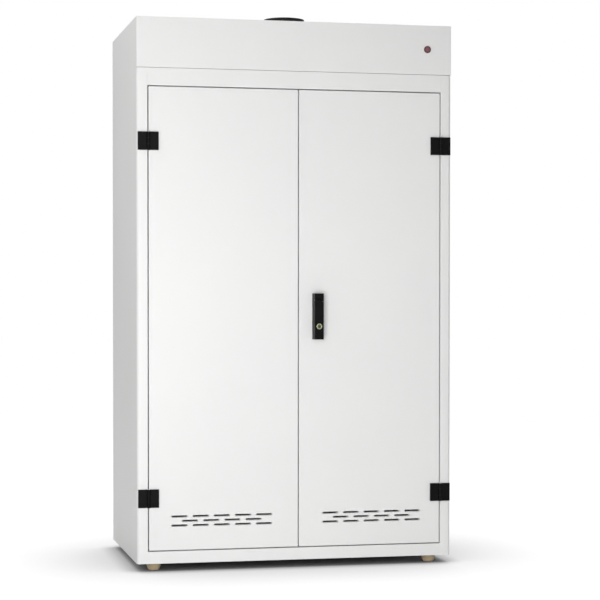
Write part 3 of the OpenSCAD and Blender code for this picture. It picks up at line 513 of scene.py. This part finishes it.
# the feet are turned cones with a bowl-like lower rim
footSetup = {"lowerRim": 5.5 * mm, "rimSegments": 6, "otherEdges": 0.4 * mm}
feet = copyOfNode("feet", "footCones")
roundPicked(feet, lambda middle, edge: middle.z < touch,
            footSetup["lowerRim"], footSetup["rimSegments"])
roundAll(feet, footSetup["otherEdges"], 2, 50)
smoothFinish(feet, 50)
dressNode(feet, "feet")
print("feet rounded")


# a pan head screw with a cross recess is modelled once and copied
screwSetup = {"headRadius": 4.0 * mm, "headHeight": 2.4 * mm, "shankRadius": 2.1 * mm,
              "crossLength": 4.6 * mm, "crossWidth": 0.9 * mm, "crossDepth": 1.3 * mm,
              "headRim": 1.5 * mm, "tipRim": 0.5 * mm, "shankLength": 5 * mm, "sunk": 0.05 * mm}


def modelScrew():
    # head up +Z from z = 0, shank down
    deselectEverything()
    bpy.ops.mesh.primitive_cylinder_add(vertices=28, radius=screwSetup["headRadius"],
                                        depth=screwSetup["headHeight"],
                                        location=(0, 0, screwSetup["headHeight"] / 2))
    head = bpy.context.object
    bpy.ops.object.transform_apply(location=True, rotation=True, scale=True)

    def topRim(middle, edge):
        return all(v.co.z > screwSetup["headHeight"] - 0.01 * mm for v in edge.verts)

    roundPicked(head, topRim, screwSetup["headRim"], 4)
    cutters = []
    for turned in (False, True):
        deselectEverything()
        bpy.ops.mesh.primitive_cube_add(size=1, location=(0, 0, screwSetup["headHeight"]))
        cutter = bpy.context.object
        across = (screwSetup["crossLength"], screwSetup["crossWidth"])
        cutter.scale = (across[turned], across[not turned], 2 * screwSetup["crossDepth"])
        bpy.ops.object.transform_apply(location=True, rotation=True, scale=True)
        cutters.append(cutter)
    for cutter in cutters:
        cut = head.modifiers.new("recess", "BOOLEAN")
        cut.operation = "DIFFERENCE"
        cut.object = cutter
    applyModifiers(head)
    for cutter in cutters:
        bpy.data.objects.remove(cutter)
    deselectEverything()
    shankLength = screwSetup["shankLength"]
    bpy.ops.mesh.primitive_cylinder_add(vertices=20, radius=screwSetup["shankRadius"], depth=shankLength,
                                        location=(0, 0, -shankLength / 2 + screwSetup["sunk"]))
    shank = bpy.context.object
    bpy.ops.object.transform_apply(location=True, rotation=True, scale=True)

    def tipRim(middle, edge):
        return all(v.co.z < -shankLength + touch for v in edge.verts)

    roundPicked(shank, tipRim, screwSetup["tipRim"], 2)
    head.select_set(True)
    bpy.context.view_layer.objects.active = head
    bpy.ops.object.join()
    return head


def screwSet(nodeName, pieceName, placements):
    # placements: (place of the head's seat, direction the head points)
    master = modelScrew()
    copies = []
    for seat, outward in placements:
        copyPiece = master.copy()
        copyPiece.data = master.data.copy()
        bpy.context.scene.collection.objects.link(copyPiece)
        turn = Vector(outward).to_track_quat("Z", "Y").to_matrix().to_4x4()
        turn.translation = Vector(seat)
        copyPiece.data.transform(turn)
        copies.append(copyPiece)
    bpy.data.objects.remove(master)
    deselectEverything()
    for copyPiece in copies:
        copyPiece.select_set(True)
    bpy.context.view_layer.objects.active = copies[0]
    bpy.ops.object.join()
    joined = bpy.context.object
    joined.name = pieceName
    smoothFinish(joined)
    dressNode(joined, nodeName)


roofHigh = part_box("roof_panel")[1]
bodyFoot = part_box("left_side_panel")[0][2]
screwPlaces = {"inset": 10 * mm, "backLowest": 60 * mm, "backEnds": 100 * mm, "backRows": 4,
               "roofBehindFront": (64 * mm, 300 * mm, 540 * mm)}
backStep = (roofHigh[2] - bodyFoot - screwPlaces["backEnds"]) / (screwPlaces["backRows"] - 1)
backHeights = [bodyFoot + screwPlaces["backLowest"] + row * backStep
               for row in range(screwPlaces["backRows"])]
panelPlaces = []
for side in (-1, 1):
    sideX = side * (roofHigh[0] - screwPlaces["inset"])
    for up in backHeights:
        panelPlaces.append(((sideX, roofHigh[1], up), (0, 1, 0)))
    for behindFront in screwPlaces["roofBehindFront"]:
        panelPlaces.append(((sideX, frontFace + behindFront, roofHigh[2]), (0, 0, 1)))
screwSet("panel_screws", "panelScrews", panelPlaces)
print("screws placed:", len(panelPlaces))


# the switch has a ring with a rolled rim and a slightly domed cap
switchSetup = {"ringRim": 0.9 * mm, "capRadius": 8.3 * mm, "dome": 0.9 * mm,
               "capInsets": (1.2 * mm, 1.6 * mm, 1.8 * mm, 1.8 * mm)}
ring = copyOfNode("switch_body", "switchRing")
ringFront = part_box("switch_body")[0][1]


def ringRim(middle, edge):
    return abs(middle.y - ringFront) < 0.05 * mm


roundPicked(ring, ringRim, switchSetup["ringRim"], 4)
smoothFinish(ring)
dressNode(ring, "switch_body")

cap = copyOfNode("switch_button", "switchCap")
capLow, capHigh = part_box("switch_button")
capMiddle = Vector(((capLow[0] + capHigh[0]) / 2, 0, (capLow[2] + capHigh[2]) / 2))
makeActive(cap)
bpy.ops.object.mode_set(mode="EDIT")
cage = bmesh.from_edit_mesh(cap.data)
for face in cage.faces:
    face.select_set(face.normal.y < -0.9)
bmesh.update_edit_mesh(cap.data)
for insetBy in switchSetup["capInsets"]:
    bpy.ops.mesh.inset(thickness=insetBy, depth=0)
cage = bmesh.from_edit_mesh(cap.data)
for vert in cage.verts:
    reach = math.hypot(vert.co.x - capMiddle.x, vert.co.z - capMiddle.z) / switchSetup["capRadius"]
    if abs(vert.co.y - capLow[1]) < 0.01 * mm:
        vert.co.y += switchSetup["dome"] * reach * reach     # rim sinks, middle stays in the CAD box
bmesh.update_edit_mesh(cap.data)
bpy.ops.object.mode_set(mode="OBJECT")
smoothFinish(cap, 30)
dressNode(cap, "switch_button")
print("switch dressed")


# the fan's rotor has curved, twisted blades
fanSetup = {"blades": 7, "hubRadius": 22 * mm, "tipRadius": 58.5 * mm, "rootPitch": 44, "tipPitch": 24,
            "chordRoot": 20 * mm, "chordTip": 29 * mm, "thick": 1.8 * mm, "camber": 2.2 * mm,
            "roofSheet": 1.5 * mm, "hubDrop": 38 * mm, "hubHeight": 22 * mm, "hubRim": 4 * mm,
            "rootSunk": 1 * mm, "bladeDrop": 1 * mm, "bladeRim": 0.5 * mm,
            "stations": 8, "across": 7}       # points along and across a blade
rotorLow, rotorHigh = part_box("fan_impeller")
fanCentre = ((rotorLow[0] + rotorHigh[0]) / 2, (rotorLow[1] + rotorHigh[1]) / 2)
hubBottom = roofHigh[2] - fanSetup["roofSheet"] - fanSetup["hubDrop"]
hubHeight = fanSetup["hubHeight"]


def shareOf(first, last, along):
    return first + along * (last - first)


def modelBlade(number):
    # a grid of points on the blade's middle surface, then given its thickness
    stations, across = fanSetup["stations"], fanSetup["across"]
    swing = math.radians(number * 360 / fanSetup["blades"])
    verts, faces = [], []
    for i in range(stations):
        along = i / (stations - 1)
        reach = fanSetup["tipRadius"] - fanSetup["hubRadius"] + fanSetup["rootSunk"]
        radius = fanSetup["hubRadius"] - fanSetup["rootSunk"] + along * reach
        pitch = math.radians(shareOf(fanSetup["rootPitch"], fanSetup["tipPitch"], along))
        chord = shareOf(fanSetup["chordRoot"], fanSetup["chordTip"], along)
        for j in range(across):
            share = j / (across - 1) - 0.5
            bow = fanSetup["camber"] * (1 - 4 * share * share)
            sideways = share * chord * math.cos(pitch) - bow * math.sin(pitch)
            up = share * chord * math.sin(pitch) + bow * math.cos(pitch) - fanSetup["bladeDrop"]
            turn = swing + sideways / radius
            verts.append((fanCentre[0] + radius * math.cos(turn),
                          fanCentre[1] + radius * math.sin(turn),
                          hubBottom + hubHeight / 2 + up))
    for i in range(stations - 1):
        for j in range(across - 1):
            a = i * across + j
            faces.append((a, a + across, a + across + 1, a + 1))
    mesh = bpy.data.meshes.new(f"bladeSheet{number}")
    mesh.from_pydata(verts, [], faces)
    sheet = bpy.data.objects.new(f"bladeSheet{number}", mesh)
    bpy.context.scene.collection.objects.link(sheet)
    makeActive(sheet)
    bpy.ops.object.mode_set(mode="EDIT")
    bpy.ops.mesh.select_all(action="SELECT")
    bpy.ops.mesh.normals_make_consistent(inside=False)
    bpy.ops.object.mode_set(mode="OBJECT")
    wall = sheet.modifiers.new("wall", "SOLIDIFY")
    wall.thickness = fanSetup["thick"]
    wall.offset = 0
    soft = sheet.modifiers.new("soft", "BEVEL")
    soft.width = fanSetup["bladeRim"]
    soft.segments = 2
    soft.limit_method = "ANGLE"
    applyModifiers(sheet)
    return sheet


def modelRotor():
    deselectEverything()
    bpy.ops.mesh.primitive_cylinder_add(
        vertices=48, radius=fanSetup["hubRadius"], depth=hubHeight,
        location=(fanCentre[0], fanCentre[1], hubBottom + hubHeight / 2))
    hub = bpy.context.object
    bpy.ops.object.transform_apply(location=True, rotation=True, scale=True)
    roundPicked(hub, lambda middle, edge: middle.z > hubBottom + hubHeight - touch,
                fanSetup["hubRim"], 4)
    pieces = [hub] + [modelBlade(number) for number in range(fanSetup["blades"])]
    deselectEverything()
    for piece in pieces:
        piece.select_set(True)
    bpy.context.view_layer.objects.active = hub
    bpy.ops.object.join()
    return hub


rotor = modelRotor()
rotor.name = "fanRotor"
smoothFinish(rotor)
dressNode(rotor, "fan_impeller")
print("fan rotor modelled")


def aimAt(thing, target):
    thing.rotation_euler = (Vector(target) - thing.location).to_track_quat("-Z", "Y").to_euler()


for lampName, (place, aim, extent, power) in lampSetup.items():
    lamp = bpy.data.lights.new(lampName, "AREA")
    lamp.shape = "RECTANGLE"
    lamp.size, lamp.size_y = extent
    lamp.energy = power
    holder = bpy.data.objects.new(lampName, lamp)
    bpy.context.scene.collection.objects.link(holder)
    holder.location = place
    holder.visible_camera = False      # never stands in a view from another side
    aimAt(holder, aim)


def seenDirectly(tree):
    # 1 for camera, glossy and transmission rays
    path = tree.nodes.new("ShaderNodeLightPath")
    first = mathIn(tree, "MAXIMUM", path.outputs["Is Camera Ray"], path.outputs["Is Glossy Ray"])
    return mathIn(tree, "MAXIMUM", first, path.outputs["Is Transmission Ray"])


world = bpy.data.worlds.new("studioWorld")
world.use_nodes = True
bpy.context.scene.world = world
background = world.node_tree.nodes["Background"]
background.inputs["Color"].default_value = (1, 1, 1, 1)
strength = world.node_tree.nodes.new("ShaderNodeMapRange")
strength.inputs["To Min"].default_value = worldStrength
strength.inputs["To Max"].default_value = 1.0
world.node_tree.links.new(seenDirectly(world.node_tree), strength.inputs["Value"])
world.node_tree.links.new(strength.outputs["Result"], background.inputs["Strength"])

# the floor lights the cabinet as pale paint; seen directly it glows white, with a painted shadow
# darkening it towards the cabinet's foot
floorSetup = {"size": 60.0, "paint": 0.8, "seenPaint": 0.12, "lift": 0.97,
              "shades": ((0.45, 0.7), (0.06, 0.9))}     # reach in metres and depth of each painted shadow
deselectEverything()
bpy.ops.mesh.primitive_plane_add(size=floorSetup["size"], location=(0, 0, 0))
floor = bpy.context.object
floor.name = "studioFloor"
floorPaint = bpy.data.materials.new("studioFloorPaint")
floorPaint.use_nodes = True
floorTree = floorPaint.node_tree
floorTree.nodes.remove(floorTree.nodes["Principled BSDF"])
matt = floorTree.nodes.new("ShaderNodeBsdfDiffuse")
paintShade = floorTree.nodes.new("ShaderNodeMapRange")
paintShade.inputs["To Min"].default_value = floorSetup["paint"]
paintShade.inputs["To Max"].default_value = floorSetup["seenPaint"]
floorTree.links.new(seenDirectly(floorTree), paintShade.inputs["Value"])
floorTree.links.new(paintShade.outputs["Result"], matt.inputs["Color"])
lift = floorTree.nodes.new("ShaderNodeEmission")
liftShare = seenDirectly(floorTree)
# painted shadow: each occlusion test dims the floor's white glow where the cabinet is near
for reach, depth in floorSetup["shades"]:
    openness = floorTree.nodes.new("ShaderNodeAmbientOcclusion")
    openness.inputs["Distance"].default_value = reach
    paintedShadowShare = mathIn(floorTree, "POWER", openness.outputs["AO"], depth)
    liftShare = mathIn(floorTree, "MULTIPLY", liftShare, paintedShadowShare)
liftShare = mathIn(floorTree, "MULTIPLY", liftShare, floorSetup["lift"])
floorTree.links.new(liftShare, lift.inputs["Strength"])
both = floorTree.nodes.new("ShaderNodeAddShader")
floorTree.links.new(matt.outputs[0], both.inputs[0])
floorTree.links.new(lift.outputs[0], both.inputs[1])
floorTree.links.new(both.outputs[0], floorTree.nodes["Material Output"].inputs["Surface"])
floor.data.materials.append(floorPaint)

cameraData = bpy.data.cameras.new("photoCamera")
cameraData.sensor_width = cameraSetup["sensor"]
cameraData.lens = cameraSetup["lens"]
cameraData.shift_y = cameraSetup["shiftY"]
cameraData.clip_end = cameraSetup["farthest"]
photoCamera = bpy.data.objects.new("photoCamera", cameraData)
bpy.context.scene.collection.objects.link(photoCamera)
photoCamera.location = cameraSetup["place"]
yaw, pitch = math.radians(cameraSetup["yaw"]), math.radians(cameraSetup["pitch"])
forward = Vector((math.sin(yaw) * math.cos(pitch), math.cos(yaw) * math.cos(pitch), math.sin(pitch)))
facing = forward.to_track_quat("-Z", "Y").to_matrix()
roll = math.radians(cameraSetup["roll"])
photoCamera.rotation_euler = facing.to_euler()
photoCamera.rotation_euler.rotate_axis("Z", roll)
bpy.context.scene.camera = photoCamera
bpy.context.scene.view_settings.view_transform = "Standard"
print("stage, lamps and camera set")
